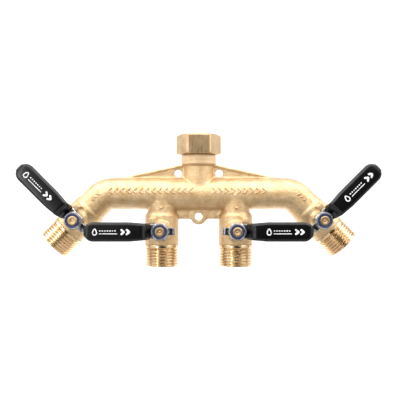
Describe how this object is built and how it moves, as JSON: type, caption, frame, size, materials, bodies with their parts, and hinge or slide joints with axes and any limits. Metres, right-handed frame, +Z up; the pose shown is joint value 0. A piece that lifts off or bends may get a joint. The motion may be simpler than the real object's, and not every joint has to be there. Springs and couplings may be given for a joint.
{
  "type": "hose splitter",
  "caption": "Brass garden hose manifold: swivel hose nut on top, straight and angled male outlets below, each with a ball valve and a gripped lever.",
  "frame": {"origin": "centre of the upper face of the inlet's hose washer, where the tap's spout ends", "axes": "+Z up the inlet's axis towards the tap, +X along the manifold to the right as seen from the levers' side, -Y towards the levers"},
  "size_m": [0.277, 0.0442, 0.1046],
  "materials": {
    "cast_brass": "sand cast and blasted, satin",
    "turned_brass": "turned, bright",
    "plated_steel": "bright zinc plate",
    "chrome": "polished chrome plate on brass",
    "vinyl": "dipped black vinyl, semi-gloss",
    "nylon": "blue nylon",
    "ptfe": "white PTFE",
    "rubber": "matt black"
  },
  "bodies": {
    "manifold": {"manifold_body": "cast_brass", "inlet_tailpiece": "turned_brass", "hose_washer": "rubber", "outer_left_upstream_seat": "ptfe", "outer_left_downstream_seat": "ptfe", "outer_left_thrust_washer": "ptfe", "outer_left_outlet_adapter": "turned_brass", "inner_left_upstream_seat": "ptfe", "inner_left_downstream_seat": "ptfe", "inner_left_thrust_washer": "ptfe", "inner_left_outlet_adapter": "turned_brass", "inner_right_upstream_seat": "ptfe", "inner_right_downstream_seat": "ptfe", "inner_right_thrust_washer": "ptfe", "inner_right_outlet_adapter": "turned_brass", "outer_right_upstream_seat": "ptfe", "outer_right_downstream_seat": "ptfe", "outer_right_thrust_washer": "ptfe", "outer_right_outlet_adapter": "turned_brass"},
    "inlet_nut": {"swivel_nut": "turned_brass"},
    "outer_left_valve": {"outer_left_stem": "turned_brass", "outer_left_ball": "chrome", "outer_left_stem_o_ring": "rubber", "outer_left_lever": "plated_steel", "outer_left_grip": "vinyl", "outer_left_lock_nut": "plated_steel", "outer_left_nylon_insert": "nylon"},
    "inner_left_valve": {"inner_left_stem": "turned_brass", "inner_left_ball": "chrome", "inner_left_stem_o_ring": "rubber", "inner_left_lever": "plated_steel", "inner_left_grip": "vinyl", "inner_left_lock_nut": "plated_steel", "inner_left_nylon_insert": "nylon"},
    "inner_right_valve": {"inner_right_stem": "turned_brass", "inner_right_ball": "chrome", "inner_right_stem_o_ring": "rubber", "inner_right_lever": "plated_steel", "inner_right_grip": "vinyl", "inner_right_lock_nut": "plated_steel", "inner_right_nylon_insert": "nylon"},
    "outer_right_valve": {"outer_right_stem": "turned_brass", "outer_right_ball": "chrome", "outer_right_stem_o_ring": "rubber", "outer_right_lever": "plated_steel", "outer_right_grip": "vinyl", "outer_right_lock_nut": "plated_steel", "outer_right_nylon_insert": "nylon"}
  },
  "joints": [
    {"name": "nut_swivel", "type": "hinge", "parent": "manifold", "child": "inlet_nut", "pos_m": [0, 0, 0], "axis": [0, 0, 1], "continuous": true},
    {"name": "outer_left_valve_turn", "type": "hinge", "parent": "manifold", "child": "outer_left_valve", "pos_m": [-0.09521, -0.018, -0.05975], "axis": [0, -1, 0], "range_deg": [0, 90]},
    {"name": "inner_left_valve_turn", "type": "hinge", "parent": "manifold", "child": "inner_left_valve", "pos_m": [-0.0294, -0.018, -0.0683], "axis": [0, -1, 0], "range_deg": [0, 90]},
    {"name": "inner_right_valve_turn", "type": "hinge", "parent": "manifold", "child": "inner_right_valve", "pos_m": [0.0294, -0.018, -0.0683], "axis": [0, 1, 0], "range_deg": [0, 90]},
    {"name": "outer_right_valve_turn", "type": "hinge", "parent": "manifold", "child": "outer_right_valve", "pos_m": [0.09521, -0.018, -0.05975], "axis": [0, 1, 0], "range_deg": [0, 90]}
  ]
}
